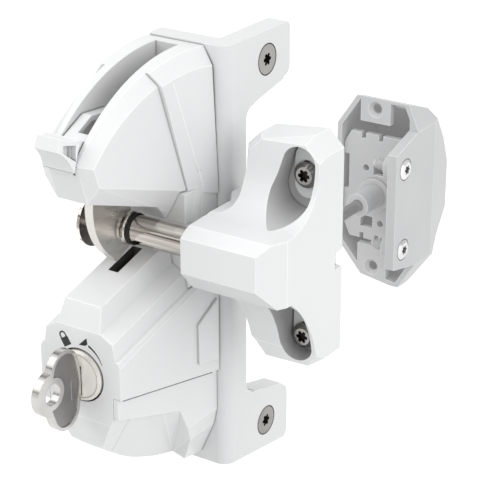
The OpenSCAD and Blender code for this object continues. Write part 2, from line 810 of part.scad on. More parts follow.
// Front of the wing, seen from the front in X and Z
function wing_front() = concat(wing_mid_left,
    [[striker_x - 5.6, 139.2], [wing_right, 133.5], [wing_right, 62], [striker_x - 3, 57.4]], wing_low_left);

// Widest outline of the wing, a little way behind its front
function wing_back() = concat(
    [for (p = wing_mid_left) [p[0] - wing_flare, p[1]]],
    [[striker_x - 5.6, 140.8], [wing_right, 135], [wing_right, 59], [striker_x - 4, 56.2]],
    [for (p = wing_low_left) [p[0] - wing_flare, p[1]]]);

module striker_shape() {
    solid_through(concat([for (p = wing_front()) [p[0], wing_y, p[1]]],
                         [for (p = wing_back()) [p[0], wing_flare_y, p[1]]],
                         [for (p = wing_back()) [p[0], striker_back_y, p[1]]]));
    intersection() {
        along_x(0, striker_x + 1) polygon(striker_profile);
        along_y(arm_front_y - 1, 0) polygon(wing_front());
    }
}

module stadium(low, high, r) {
    translate([0, low + r]) circle(r);
    translate([0, high - r]) circle(r);
    translate([-r, low + r]) square([2 * r, high - low - 2 * r]);
}

// Two circles, each given by its centre and radius, joined by their tangents
module drop_outline(low, high) {
    along = [high[0] - low[0], high[1] - low[1]];
    heading = atan2(along[1], along[0]);
    spread = acos((low[2] - high[2]) / norm(along));
    function at(c, side) = [c[0] + c[2] * cos(heading + side * spread), c[1] + c[2] * sin(heading + side * spread)];
    for (c = [low, high]) translate([c[0], c[1]]) circle(c[2]);
    polygon([at(low, -1), at(high, -1), at(high, 1), at(low, 1)]);
}

// Hollow cut into the left side; it slants outwards with the wing's flare
module cove(outline) {
    slant = atan2(wing_flare, wing_flare_y - wing_y);
    along_y(arm_front_y - 1, wing_y) polygon(outline);
    intersection() {
        translate([0, wing_y, 0]) rotate(slant) along_y(-30, 40) polygon([for (p = outline) [p[0] * cos(slant), p[1]]]);
        block([-30, wing_y - 0.01, 0], [60, wing_flare_y, bracket_h]);
    }
    translate([-wing_flare, 0, 0]) along_y(wing_flare_y - 0.01, striker_back_y + cut) polygon(outline);
}

stud_r = 4;
notch_z = [striker_mid_z - 7, striker_mid_z - 0.6];
notch_d = 4.6;
pin_seat_x = 13;
stud_end_x = 34;

module striker_block() {
    color(white) placed() difference() {
        striker_shape();
        translate([0, 0, 60]) linear_extrude(60)
            polygon([[striker_x - 5.6, arm_front_y - 1], [striker_x - 5.6, arm_front_y],
                     [striker_x - 2.8, arm_front_y + 4.4], [wing_right, arm_front_y + 10.4],
                     [wing_right + 3, arm_front_y + 10.4], [wing_right + 3, arm_front_y - 1]]);
        for (c = [cove_top, cove_low]) cove(c);
        for (r = recesses) along_y(-40, floor_y) drop_outline(r[0], r[1]);
        for (z = gate_screw_z) rod_y(0, striker_back_y + cut, pocket_x, z, gate_screw_r + run_gap);
        block([striker_x - 2, striker_back_y - notch_d, notch_z[0]], [striker_x + 2, striker_back_y + cut, notch_z[1]]);
        rod_x(0, pin_seat_x, -pin_d, pin_z, pin_r + run_gap);
        rod_x(0, stud_end_x, -pin_d, pin_z, stud_r + run_gap);
    }
}

module striker_seats() {
    for (i = [0, 1]) color(grey) placed() difference() {
        along_y(floor_y - seat_t, floor_y) translate([pocket_x, 0])
            stadium(seat_z[i][0], seat_z[i][1], seat_r);
        along_y(floor_y - 5, floor_y + cut) translate([pocket_x, 0])
            stadium(gate_screw_z[i] - 5, gate_screw_z[i] + 5, gate_screw_r + 0.2);
    }
}

gate_head_r = 4.6;
gate_screw_y = striker_back_y + 8;

module gate_screws() {
    for (z = gate_screw_z) color(steel) placed() difference() {
        union() {
            rod_y(floor_y - seat_t, striker_back_y, pocket_x, z, gate_screw_r);
            rod_y(striker_back_y, gate_screw_y, pocket_x, z, gate_screw_r - thread_depth);
            rod_y(gate_screw_y, gate_screw_y + 4, pocket_x, z, gate_screw_r - thread_depth, 0.3);
            rod_y(floor_y - seat_t - 1.4, floor_y - seat_t, pocket_x, z, gate_head_r);
            rod_y(floor_y - seat_t - 2.6, floor_y - seat_t - 1.4, pocket_x, z, gate_head_r - 1.4, gate_head_r);
        }
        star_recess_y(-10, floor_y - seat_t - 1, pocket_x, z, 2.3);
    }
}

ring_x = [-18.5, -17];
ring_groove_r = pin_r - 0.4;

module striker_pin() {
    color(steel) placed() difference() {
        union() {
            rod_x(-36.9, -36.1, -pin_d, pin_z, pin_head_r - 0.8, pin_head_r);
            rod_x(-36.1, -35, -pin_d, pin_z, pin_head_r);
            rod_x(-35.1, -19.2, -pin_d, pin_z, pin_neck_r);
            rod_x(-19.3, ring_x[0], -pin_d, pin_z, pin_r + 0.9);
            rod_x(-18.6, pin_seat_x, -pin_d, pin_z, pin_r);
            rod_x(pin_seat_x - cut, stud_end_x, -pin_d, pin_z, stud_r);
        }
        difference() {
            rod_x(ring_x[0], ring_x[1], -pin_d, pin_z, pin_r + 3);
            rod_x(ring_x[0] - cut, ring_x[1] + cut, -pin_d, pin_z, ring_groove_r);
        }
    }
}

module pin_ring() {
    color(dark) placed() difference() {
        rod_x(ring_x[0], ring_x[1], -pin_d, pin_z, pin_r + 0.5);
        rod_x(ring_x[0] - cut, ring_x[1] + cut, -pin_d, pin_z, ring_groove_r + run_gap);
    }
}

// Push-button unit on the far side, with a flange that wraps the post's gate side

rim_y = bracket_t + post_d;
unit_wall = 2.2;
unit_back_y = rim_y + unit_d;
unit_left = mid_x - unit_hw + 2.5;
unit_right = mid_x + unit_hw;
plate_y = [rim_y + 2, rim_y + 4.5];
flange_end = -bracket_t + 3.6;
flange_y = rim_y - 18;
side_screw_r = 2.1;
side_screw_head_r = 4.4;
side_screw_y = rim_y - 10.3;
side_screw_zs = [42.1, 78.5];
side_screw_end = -bracket_t - 5;

module unit_profile(inset) {
    offset(delta = -inset) polygon([
        [rim_y, 18.6], [rim_y + 9.2, 17.7], [unit_back_y - 12, lock_z - 21.2], [unit_back_y, lock_z - 12.1],
        [unit_back_y, lock_z + 9.3], [unit_back_y - 7, lock_z + 22.3], [rim_y + 13, 98.6], [rim_y, 103.2]]);
}

module unit_front(inset) {
    offset(delta = -inset) polygon([
        [unit_left, 36], [unit_left + 13, 21], [unit_right - 8, 18], [unit_right, 31],
        [unit_right, 92], [unit_right - 5.4, 104], [unit_left + 10, 104], [unit_left, 89]]);
}

module unit_plan(inset) {
    offset(delta = -inset) polygon([
        [unit_left, rim_y - 1], [unit_right, rim_y - 1], [unit_right, unit_back_y - 20], [unit_right - 4, unit_back_y],
        [unit_left + 4, unit_back_y], [unit_left, unit_back_y - 20]]);
}

module unit_solid(inset) {
    intersection() {
        along_x(unit_left, unit_right) unit_profile(inset);
        along_y(rim_y - 5, unit_back_y + 5) unit_front(inset);
        linear_extrude(120) unit_plan(inset);
    }
}

tab_zs = [98, 25.4];
unit_tab_hw = 7.2;
button_hole_r = button_r + 0.4;

module unit_case() {
    color(grey) placed() difference() {
        union() {
            unit_solid(0);
            along_x(flange_end, unit_right) polygon([
                [flange_y, 35], [flange_y, 86.5], [rim_y, 92], [rim_y + 2, 92], [rim_y + 2, 31], [rim_y, 31.2]]);
            for (z = side_screw_zs) rod_x(-bracket_t, flange_end + cut, side_screw_y, z, side_screw_head_r + 1);
        }
        difference() {
            union() {
                unit_solid(unit_wall);
                along_y(rim_y - cut, rim_y + unit_wall + cut) intersection() {
                    unit_front(unit_wall);
                    translate([unit_left, 0]) square([flange_end - unit_left, 120]);
                }
            }
            for (z = tab_zs) block([mid_x - unit_tab_hw, rim_y - cut, z - 6], [mid_x + unit_tab_hw, rim_y + 3, z + 10]);
            block([mid_x - unit_tab_hw, rim_y - cut, 0], [mid_x + unit_tab_hw, rim_y + 3, tab_zs[1] + 7]);
        }
        rod_y(unit_back_y - 5, unit_back_y + 5, mid_x, lock_z, button_hole_r);
        for (z = tab_zs) {
            rod_y(rim_y - cut, rim_y + 4, mid_x, z, side_screw_r + run_gap);
            rod_y(rim_y - 0.01, rim_y + 1.5, mid_x, z, side_screw_r + 1.5, side_screw_r);
        }
        for (z = side_screw_zs) {
            rod_x(-bracket_t - cut, cut + unit_right, side_screw_y, z, side_screw_r + run_gap);
            rod_x(unit_right - 1, unit_right + cut, side_screw_y, z, side_screw_head_r + 0.5);
        }
    }
}

module unit_plate() {
    color(grey) placed() {
        difference() {
            along_y(plate_y[0], plate_y[1]) difference() {
                polygon([[mid_x - 16, 44], [mid_x - 12.5, 37], [mid_x + 15.8, 37],
                         [mid_x + 15.8, 86], [mid_x - 12.5, 86], [mid_x - 16, 80]]);
                translate([mid_x - 5, 70.1]) circle(1.5);
                translate([mid_x + 2.6, 45.5]) circle(1.5);
                translate([mid_x - 1.3, 67.7]) square([6.6, 4.7]);
                translate([mid_x - 7.1, 42.7]) square([5.9, 5.2]);
                translate([mid_x - 17, 59]) square([3.6, 16]);
                for (x = [-7.5, 1]) translate([mid_x + x, 83.4]) square([2, 4]);
                for (x = [-7.5, 0]) translate([mid_x + x, 35]) square([2, 4.6]);
            }
            rod_y(plate_y[0] - cut, plate_y[1] + cut, mid_x, lock_z, tube_r + run_gap);
        }
        for (z = [50, 76]) block([mid_x + 9, plate_y[1] - 0.1, z - 3], [mid_x + 13, unit_back_y - 12, z + 3]);
    }
}

tube_r = 5.2;
tube_front_y = rim_y - 13.5;

module rod_tube() {
    color(grey) placed() difference() {
        union() {
            rod_y(tube_front_y, plate_y[1] + 3, mid_x, lock_z, tube_r);
            rod_y(plate_y[0] - 1.5, plate_y[0], mid_x, lock_z, tube_r + 2.3);
        }
        rod_y(tube_front_y - cut, plate_y[1] + 5, mid_x, lock_z, rod_r + run_gap);
    }
}

module unit_side_screws() {
    for (z = side_screw_zs) color(steel) placed() difference() {
        union() {
            rod_x(side_screw_end, -bracket_t, side_screw_y, z, side_screw_r - thread_depth);
            rod_x(-bracket_t, unit_right - 1, side_screw_y, z, side_screw_r);
            rod_x(side_screw_end - 2.5, side_screw_end, side_screw_y, z, 0.3, side_screw_r - thread_depth);
            rod_x(unit_right - 1, unit_right, side_screw_y, z, side_screw_head_r);
            rod_x(unit_right, unit_right + 0.8, side_screw_y, z, side_screw_head_r, side_screw_head_r - 1.2);
        }
        star_recess_x(unit_right - 0.7, unit_right + 2, side_screw_y, z, 2);
    }
}

push_back_y = unit_back_y + 6;
button_stop_y = unit_back_y - unit_wall - slide_gap;
button_front_y = unit_back_y - 7.5;
rod_back_y = unit_back_y - 2;
rod_front_y = -1;
spring_front_y = plate_y[1] + 3.4;

module push_button() {
    color(grey) placed() difference() {
        union() {
            rod_y(button_front_y, push_back_y - 1, mid_x, lock_z, button_r);
            rod_y(push_back_y - 1, push_back_y, mid_x, lock_z, button_r, button_r - 1);
            rod_y(button_front_y, button_stop_y - 1.2, mid_x, lock_z, button_r + 1);
            rod_y(button_stop_y - 1.2, button_stop_y, mid_x, lock_z, button_r + 1, button_r);
        }
        rod_y(button_front_y - cut, rod_back_y, mid_x, lock_z, rod_r + run_gap);
        rod_y(push_back_y - 0.8, push_back_y + 1, mid_x, lock_z, 5, 7);
    }
}

module push_rod() {
    color(steel) placed() {
        rod_y(rod_front_y, rod_back_y, mid_x, lock_z, rod_r);
        rod_y(rod_front_y - 1, rod_front_y, mid_x, lock_z, rod_r - 1, rod_r);
    }
}

// Spring round the rod, between the plate and the button
module button_spring() {
    turns = 6;
    length = button_front_y - 0.1 - spring_front_y;
    half = 46;
    r_in = 5.8;
    r_out = 7;
    color(steel) placed() translate([mid_x, spring_front_y + length, lock_z]) rotate([90, 0, 0])
        linear_extrude(length, twist = 360 * turns, slices = 16 * turns, segments = 10)
            polygon(concat([for (i = [0:4]) let (a = -half + half * i / 2) r_out * [cos(a), sin(a)]],
                           [for (i = [4:-1:0]) let (a = -half + half * i / 2) r_in * [cos(a), sin(a)]]));
}

bracket();
housing();
lower_cover();
post_screws();
housing_screws();
pivot_pin();
lever();
catch_plate();
catch_rivets();
lock_barrel();
barrel_clip();
lock_plug();
lock_cam();
cam_screw();
locking_bar();
key();
striker_block();
striker_pin();
pin_ring();
striker_seats();
gate_screws();
unit_case();
unit_plate();
rod_tube();
unit_side_screws();
push_button();
push_rod();
button_spring();
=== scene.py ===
import math

import bmesh
import bpy
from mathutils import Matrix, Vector
from mathutils.bvhtree import BVHTree


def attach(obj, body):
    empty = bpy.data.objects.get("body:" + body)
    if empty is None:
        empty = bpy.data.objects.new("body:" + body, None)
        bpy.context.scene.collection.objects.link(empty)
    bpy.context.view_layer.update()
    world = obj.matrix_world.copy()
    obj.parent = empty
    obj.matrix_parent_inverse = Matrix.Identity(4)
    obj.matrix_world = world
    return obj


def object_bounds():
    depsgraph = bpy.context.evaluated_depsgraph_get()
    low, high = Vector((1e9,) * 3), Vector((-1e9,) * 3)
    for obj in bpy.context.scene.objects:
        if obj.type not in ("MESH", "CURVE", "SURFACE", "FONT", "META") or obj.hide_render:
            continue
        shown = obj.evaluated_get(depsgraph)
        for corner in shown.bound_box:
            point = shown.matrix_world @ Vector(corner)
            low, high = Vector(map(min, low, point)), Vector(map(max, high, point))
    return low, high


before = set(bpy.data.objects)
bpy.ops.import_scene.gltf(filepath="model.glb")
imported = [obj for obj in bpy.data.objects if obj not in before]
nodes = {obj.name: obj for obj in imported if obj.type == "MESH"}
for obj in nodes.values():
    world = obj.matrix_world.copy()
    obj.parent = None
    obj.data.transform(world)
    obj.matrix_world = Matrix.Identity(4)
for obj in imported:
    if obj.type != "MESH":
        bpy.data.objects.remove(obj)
cad_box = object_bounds()

# Points are written as in part.scad, in millimetres from the bracket's outer front corner at its foot
CORNER = Vector((21.0, -8.0, -82.5))
# Middle of the latch's width
MID_X = -21.0
# Housing's front face, which carries the lock and the printed marks
FRONT_Y = -59.5
# Three pairs of screws: what the two of a pair share, and their heights
POST_SCREW_Y = 26.3
POST_SCREW_ZS = (8.3, 154.0)
GATE_SCREW_X = 34.0
GATE_SCREW_ZS = (125.9, 65.1)
SIDE_SCREW_Y = 132.7
SIDE_SCREW_ZS = (42.1, 78.5)


def mm(x, y, z):
    """A point given in millimetres from the bracket's corner, in the frame's metres."""
    return (Vector((x, y, z)) + CORNER) * 0.001


# Camera, fitted to the bracket's edges in the photograph

PHOTO_PX = 500.0
FOCAL_PX = 1810.8
SENSOR_MM = 36.0

cam_data = bpy.data.cameras.new("camera")
cam_data.sensor_width = SENSOR_MM
cam_data.lens = FOCAL_PX * SENSOR_MM / PHOTO_PX
cam = bpy.data.objects.new("camera", cam_data)
bpy.context.scene.collection.objects.link(cam)
cam.location = mm(337.6, -493.4, 346.0)
look = mm(8.04, 3.0, 90.27) - cam.location
cam.rotation_euler = look.to_track_quat("-Z", "Y").to_euler()
bpy.context.scene.camera = cam


# Materials

class Nodes:
    """Short names for building a node tree."""

    def __init__(self, name):
        self.mat = bpy.data.materials.new(name)
        self.mat.use_nodes = True
        self.tree = self.mat.node_tree
        self.bsdf = self.tree.nodes["Principled BSDF"]

    def add(self, kind, **props):
        node = self.tree.nodes.new(kind)
        for key, value in props.items():
            setattr(node, key, value)
        return node

    def link(self, a, b):
        self.tree.links.new(a, b)

    def coords(self, scale=(1, 1, 1)):
        tex = self.add("ShaderNodeTexCoord")
        mapping = self.add("ShaderNodeMapping")
        mapping.inputs["Scale"].default_value = scale
        self.link(tex.outputs["Object"], mapping.inputs["Vector"])
        return mapping.outputs["Vector"]

    def noise(self, vector, scale, detail=3.0, rough=0.5):
        node = self.add("ShaderNodeTexNoise")
        node.inputs["Scale"].default_value = scale
        node.inputs["Detail"].default_value = detail
        node.inputs["Roughness"].default_value = rough
        self.link(vector, node.inputs["Vector"])
        return node.outputs["Fac"]

    def ramp(self, value, low, high, a=0.3, b=0.7):
        """The value's range from a to b, spread over low to high."""
        node = self.add("ShaderNodeMapRange")
        node.inputs["From Min"].default_value = a
        node.inputs["From Max"].default_value = b
        node.inputs["To Min"].default_value = low
        node.inputs["To Max"].default_value = high
        self.link(value, node.inputs["Value"])
        return node.outputs["Result"]

    def blend(self, fac, a, b):
        """Mix of two colours, each a plain colour or another node's result."""
        node = self.add("ShaderNodeMix", data_type="RGBA")
        for name, value in (("A", a), ("B", b)):
            if isinstance(value, tuple):
                node.inputs[name].default_value = (*value, 1)
            else:
                self.link(value, node.inputs[name])
        self.link(fac, node.inputs["Factor"])
        return node.outputs["Result"]

    def open_air(self, reach):
        """Near 0 in creases and 1 on open faces."""
        node = self.add("ShaderNodeAmbientOcclusion", samples=8)
        node.inputs["Distance"].default_value = reach
        return node.outputs["AO"]

    def rounded(self, radius):
        """Surface normal with the edges rounded, and a mask that is 1 on those edges."""
        bevel = self.add("ShaderNodeBevel", samples=6)
        bevel.inputs["Radius"].default_value = radius
        plain = self.add("ShaderNodeNewGeometry")
        dot = self.add("ShaderNodeVectorMath", operation="DOT_PRODUCT")
        self.link(bevel.outputs["Normal"], dot.inputs[0])
        self.link(plain.outputs["Normal"], dot.inputs[1])
        return bevel.outputs["Normal"], self.ramp(dot.outputs["Value"], 0, 1, 0.9992, 0.9972)

    def compute(self, operation, a, b):
        node = self.add("ShaderNodeMath", operation=operation)
        self.link(a, node.inputs[0])
        self.link(b, node.inputs[1])
        return node.outputs["Value"]

    def bump(self, height, strength, distance, normal):
        """Fine relief on top of the given normal."""
        node = self.add("ShaderNodeBump")
        node.inputs["Strength"].default_value = strength
        node.inputs["Distance"].default_value = distance
        self.link(height, node.inputs["Height"])
        self.link(normal, node.inputs["Normal"])
        self.link(node.outputs["Normal"], self.bsdf.inputs["Normal"])

    def shine(self, colour, strength):
        self.bsdf.inputs["Emission Color"].default_value = (*colour, 1)
        self.bsdf.inputs["Emission Strength"].default_value = strength


# Share of the polymer's colour that it gives to light which has bounced off it
BOUNCE = 0.8


def plastic(name, light, dark, rough, spec=0.5, crease_shade=0.33, edge_highlight_gain=1.2, painted_glow=0.0):
    """Moulded polymer: clouding, spark-eroded grain, scuffs, painted shade in creases, painted highlights on
    edges.
    """
    n = Nodes(name)
    vec = n.coords()
    cloud = n.noise(vec, 25.0, 4.0)
    body = n.blend(n.ramp(cloud, 0, 1), dark, light)
    # Colour of the painted highlight along the edges
    edge_highlight = tuple(min(0.97, c * edge_highlight_gain) for c in light)
    crease_shade_colour = tuple(c * crease_shade for c in light)
    air = n.open_air(0.0011)
    normal, edge = n.rounded(0.0005)
    # Painted highlight: lighter colour along edges and shallow creases, kept out of closed creases
    body = n.blend(n.compute("MULTIPLY", edge, n.ramp(air, 0, 1, 0.8, 0.97)), body, edge_highlight)
    # Painted shade: the colour darkens in creases, seams and recesses that the open-air test finds close
    body = n.blend(n.ramp(air, 0, 1, 0.35, 0.85), crease_shade_colour, body)
    # Light that has bounced off the polymer once is weaker, so recesses stay shaded
    ray = n.add("ShaderNodeLightPath")
    bounced = tuple(c * BOUNCE for c in light)
    n.link(n.blend(ray.outputs["Is Diffuse Ray"], body, bounced), n.bsdf.inputs["Base Color"])
    # Painted light: the polymer glows in its own colour, which lifts its shade
    n.shine(light, painted_glow)
    fine = n.noise(vec, 2600.0, 2.0)
    scuff = n.noise(n.coords((1, 1, 0.25)), 90.0, 6.0, 0.7)
    worn = n.compute("ADD", n.ramp(fine, rough - 0.05, rough + 0.05), n.ramp(scuff, 0.0, 0.07, 0.55, 0.75))
    n.link(worn, n.bsdf.inputs["Roughness"])
    n.bsdf.inputs["Specular IOR Level"].default_value = spec
    n.bump(fine, 0.2, 0.00002, normal)
    return n.mat


def metal(name, light, dark, rough, stretch, grain=0.000002, brush=500.0, metallic=1.0, bands=0.0, painted_glow=0.0):
    """Satin metal: brushed streaks along one way, small stains or broad bands of painted reflection, and fine
    pits.
    """
    n = Nodes(name)
    n.bsdf.inputs["Metallic"].default_value = metallic
    streak = n.noise(n.coords(stretch), brush, 4.0, 0.5)
    # Broad bands paint light and dark reflection streaks along the part
    if bands:
        cloud = n.noise(n.coords(stretch), bands, 1.0)
        spread = 0.09
    else:
        cloud = n.noise(n.coords(), 45.0, 3.0)
        spread = 0.2
    n.link(n.blend(n.ramp(cloud, 0, 1, 0.5 - spread, 0.5 + spread), dark, light), n.bsdf.inputs["Base Color"])
    # Painted light: the metal glows in its own colour, which lifts its shade
    n.shine(light, painted_glow)
    n.link(n.ramp(streak, rough - 0.05, rough + 0.07), n.bsdf.inputs["Roughness"])
    n.bump(streak, 0.2, grain, n.rounded(0.00025)[0])
    return n.mat


# Streaks in every direction
EVEN = (1, 1, 1)

white = plastic("white_polymer", (0.80, 0.805, 0.81), (0.775, 0.78, 0.785), 0.36)
bracket_white = plastic("bracket_white", (0.755, 0.76, 0.765), (0.73, 0.735, 0.74), 0.36)
# Darker white that paints the shade on the walls behind the lever's slot
lever_room_shade = plastic("lever_room_shade", (0.72, 0.72, 0.725), (0.68, 0.68, 0.685), 0.5)
# Darker white that paints the shade in the striker's recesses
recess_shade_white = plastic("recess_shade_white", (0.58, 0.58, 0.585), (0.53, 0.53, 0.535), 0.42)
# Brighter white for the painted highlight along the band's crease
crease_highlight_white = plastic("crease_highlight_white", (0.97, 0.97, 0.97), (0.94, 0.94, 0.94), 0.3)
shade = plastic("deep_shade", (0.07, 0.068, 0.065), (0.05, 0.048, 0.046), 0.6)
# Black of the real black parts, also painted as shade in the lock's gap, the keyway and the screw drives
black_and_shade = plastic("black_polymer_and_shade", (0.02, 0.02, 0.02), (0.012, 0.012, 0.012), 0.5, spec=0.2)
# Black of the printed marks, also the painted shadow rings round the post screws' heads
print_and_shadow_ink = plastic("black_print_and_shadow", (0.022, 0.022, 0.024), (0.012, 0.012, 0.013), 0.55)
seam = plastic("seam_shadow", (0.31, 0.31, 0.315), (0.25, 0.25, 0.255), 0.7)
# Grey polymer whose glow is painted light that lifts its shade, with a stronger painted edge highlight and
# weaker painted crease shade
grey = plastic("grey_unit_polymer", (0.50, 0.50, 0.505), (0.445, 0.45, 0.455), 0.38,
               crease_shade=0.6, edge_highlight_gain=1.35, painted_glow=0.19)
steel = metal("satin_steel", (0.70, 0.665, 0.62), (0.50, 0.475, 0.44), 0.11, (0.06, 1, 1))
# Pin steel whose broad light and dark bands are painted reflection streaks
pin_steel_painted_streaks = metal("pin_steel_painted_reflection", (0.88, 0.835, 0.78), (0.36, 0.33, 0.30), 0.11, (0.03, 1, 1), bands=330.0)
# Darker steel that paints the shade on the back of the pin's head
painted_shade_steel = metal("shaded_steel", (0.30, 0.285, 0.265), (0.18, 0.17, 0.16), 0.2, EVEN)
steel_plate = metal("plate_steel", (0.70, 0.68, 0.65), (0.60, 0.58, 0.55), 0.28, (1, 0.15, 0.6),
                    grain=0.0000003, brush=300.0)
screw_steel = metal("screw_steel", (0.40, 0.39, 0.37), (0.28, 0.27, 0.26), 0.22, EVEN, grain=0.000004)
# Lock plating whose glow is painted light that brightens its face
lock_metal = metal("lock_plating", (0.96, 0.925, 0.88), (0.90, 0.865, 0.82), 0.34, (1, 0.2, 1),
                   metallic=0.2, painted_glow=0.1)
barrel_metal = metal("barrel_plating", (0.78, 0.75, 0.71), (0.70, 0.67, 0.63), 0.3, (1, 0.2, 1),
                     metallic=0.35)
key_metal = metal("key_plating", (0.66, 0.645, 0.62), (0.54, 0.53, 0.51), 0.22, (1, 0.5, 0.5))
key_field = metal("key_field", (0.30, 0.295, 0.29), (0.23, 0.225, 0.22), 0.34, (1, 0.5, 0.5),
                  grain=0.000004)
unit_metal = metal("unit_metal", (0.62, 0.62, 0.62), (0.50, 0.50, 0.50), 0.3, (1, 0.1, 1), grain=0.000004)
# Dark grey that paints the shade in the drive recesses of the unit's side screws
unit_drive_shade = plastic("unit_drive_shade", (0.36, 0.36, 0.36), (0.30, 0.30, 0.30), 0.5)
unit_screw = metal("unit_screw_metal", (0.82, 0.82, 0.82), (0.70, 0.70, 0.70), 0.35, EVEN, grain=0.000004)

FINISH = {
    "bracket": bracket_white,
    "housing": white,
    "lower_cover": white,
    "lever": white,
    "striker_block": white,
    "striker_seats": white,
    "post_screws": screw_steel,
    "housing_screws": steel,
    "pivot_pin": steel,
    "catch_plate": steel_plate,
    "catch_rivets": steel,
    "lock_barrel": barrel_metal,
    "barrel_clip": black_and_shade,
    "lock_plug": lock_metal,
    "lock_cam": steel,
    "cam_screw": steel,
    "locking_bar": steel,
    "key": key_metal,
    "striker_pin": pin_steel_painted_streaks,
    "pin_ring": black_and_shade,
    "gate_screws": screw_steel,
    "unit_case": grey,
    "unit_plate": grey,
    "rod_tube": grey,
    "unit_side_screws": unit_screw,
    "push_button": grey,
    "push_rod": unit_metal,
    "button_spring": steel,
}

# Just under the housing's gentlest real crease, which is 10 degrees
CREASE_ANGLE = 9.49


def smooth_curves(obj):
    """Shades the facets of each curve as one surface and keeps every real crease sharp."""
    weld = obj.modifiers.new("weld", "WELD")
    weld.merge_threshold = 2e-6
    split = obj.modifiers.new("crease", "EDGE_SPLIT")
    split.split_angle = math.radians(CREASE_ANGLE)
    normal = obj.modifiers.new("normal", "WEIGHTED_NORMAL")
    normal.weight = 80


for node_name, finish in FINISH.items():
    node_obj = nodes[node_name]
    node_obj.data.materials.clear()
    node_obj.data.materials.append(finish)
    if finish in (white, bracket_white, grey):
        smooth_curves(node_obj)


# Faces of the CAD nodes that look different from the rest of their node; most are painted shade in recesses,
# gaps and drives

# Screw drives: radius of the lobed recess in the wood screws and in the unit's side screws
DRIVE_R = 2.45
SIDE_DRIVE_R = 2.05
LOCK_Z = 58.7
KEYWAY_Z = 57.0
# The striker's two recesses taper from one round end (x, z, radius) to the other
RECESSES = (((33.3, 120.9, 8.1), (35.2, 131.7, 6.5)), ((35.0, 65.0, 6.6), (36.0, 82.0, 7.0)))
RECESS_MARGIN = 0.25


def repaint(name, mat, test):
    """Gives another material to the faces whose centre, in mm from the corner, passes the test."""
    obj = nodes[name]
    obj.data.materials.append(mat)
    slot = len(obj.data.materials) - 1
    for p in obj.data.polygons:
        x, y, z = (obj.matrix_world @ p.center) * 1000 - CORNER
        if test(x, y, z, p.normal):
            p.material_index = slot


def off_axis(across, z, screw_across, screw_zs):
    """Distance from the nearer of a pair of screws, square to their length."""
    return min(math.hypot(across - screw_across, z - screw_z) for screw_z in screw_zs)


def bow_field(x, y, z, n):
    """Sunk field on either side of the key's bow."""
    return abs(n.x) > 0.9 and 0.8 < abs(x - MID_X) < 1.2 and y < -61.5


def side_screw_shank(x, y, z, n):
    return x < -1


def pin_head_back(x, y, z, n):
    """Face of the pin's head that looks at the catch, painted darker as the shade it lies in."""
    return x < -29.5 and n.x > 0.5


def lock_gap(x, y, z, n):
    """Wall of the housing's hole round the lock, painted black as the shadow in the gap."""
    return -59.4 < y < -57.9 and 9.4 < math.hypot(x - MID_X, z - LOCK_Z) < 10.2


# Walls of the keyway, painted black as the shade inside it
def keyway(x, y, z, n):
    return abs(x - MID_X) < 1.4 and abs(z - KEYWAY_Z) < 6 and abs(n.y) < 0.6


# Faces inside the drive recess of the gate screws, painted black as its shade
def gate_screw_drive(x, y, z, n):
    inside = (abs(n.y) < 0.3 or y > -1.7) and y < -1.2
    return inside and off_axis(x, z, GATE_SCREW_X, GATE_SCREW_ZS) < DRIVE_R


# Faces inside the drive recess of the post screws, painted black as its shade
def post_screw_drive(x, y, z, n):
    inside = (abs(n.x) < 0.3 or x < -1.7) and x > -2.3 and n.x > -0.3
    return inside and off_axis(y, z, POST_SCREW_Y, POST_SCREW_ZS) < DRIVE_R


# Faces inside the drive recess of the unit's side screws, painted dark grey as its shade
def side_screw_drive(x, y, z, n):
    inside = (abs(n.x) < 0.3 or x < 0.2) and x > -0.9
    return inside and off_axis(y, z, SIDE_SCREW_Y, SIDE_SCREW_ZS) < SIDE_DRIVE_R


def lever_room(x, y, z, n):
    """Room behind the lever's slot, painted a darker white as its shade."""
    return abs(x - MID_X) < 5.2 and z > 113 and -56 < y < -4.5


def catch_slot(x, y, z, n):
    """Deep slot in the ramp, which the catch swings through."""
    return -24 < x < -19.5 and -38.7 < y < -23.9 and 80 < z < 104


def striker_recess(x, y, z, n):
    """Walls and floors of the striker's recesses, painted a darker white as their shade."""
    if y >= 1.1 or (abs(n.y) >= 0.05 and y <= 0.9):
        return False
    for (ax, az, ar), (bx, bz, br) in RECESSES:
        dx, dz = bx - ax, bz - az
        t = min(1.0, max(0.0, ((x - ax) * dx + (z - az) * dz) / (dx * dx + dz * dz)))
        if math.hypot(x - ax - t * dx, z - az - t * dz) < ar + (br - ar) * t + RECESS_MARGIN:
            return True
    return False


for node_name, finish, test in (
        ("key", key_field, bow_field),
        ("unit_side_screws", grey, side_screw_shank),
        ("striker_pin", painted_shade_steel, pin_head_back),
        ("housing", black_and_shade, lock_gap),
        ("lock_plug", black_and_shade, keyway),
        ("gate_screws", black_and_shade, gate_screw_drive),
        ("post_screws", black_and_shade, post_screw_drive),
        ("unit_side_screws", unit_drive_shade, side_screw_drive),
        ("housing", lever_room_shade, lever_room),
        ("housing", shade, catch_slot),
        ("striker_block", recess_shade_white, striker_recess)):
    repaint(node_name, finish, test)


# Pieces that the solids don't have

def new_piece(name, bm, mat, body, smooth=False):
    """Makes an object of the mesh, which rides on the body."""
    mesh = bpy.data.meshes.new(name)
    bm.to_mesh(mesh)
    bm.free()
    mesh.materials.append(mat)
    for p in mesh.polygons:
        p.use_smooth = smooth
    obj = bpy.data.objects.new(name, mesh)
    bpy.context.scene.collection.objects.link(obj)
    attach(obj, body)


def join_rows(bm, rows, closed=False):
    """Faces between each row of points and the next."""
    following = rows[1:] + rows[:1] if closed else rows[1:]
    for a, b in zip(rows, following):
        for k in range(len(a) - 1):
            bm.faces.new((a[k], a[k + 1], b[k + 1], b[k]))


# Printed marks beside the lock, on the housing's front face

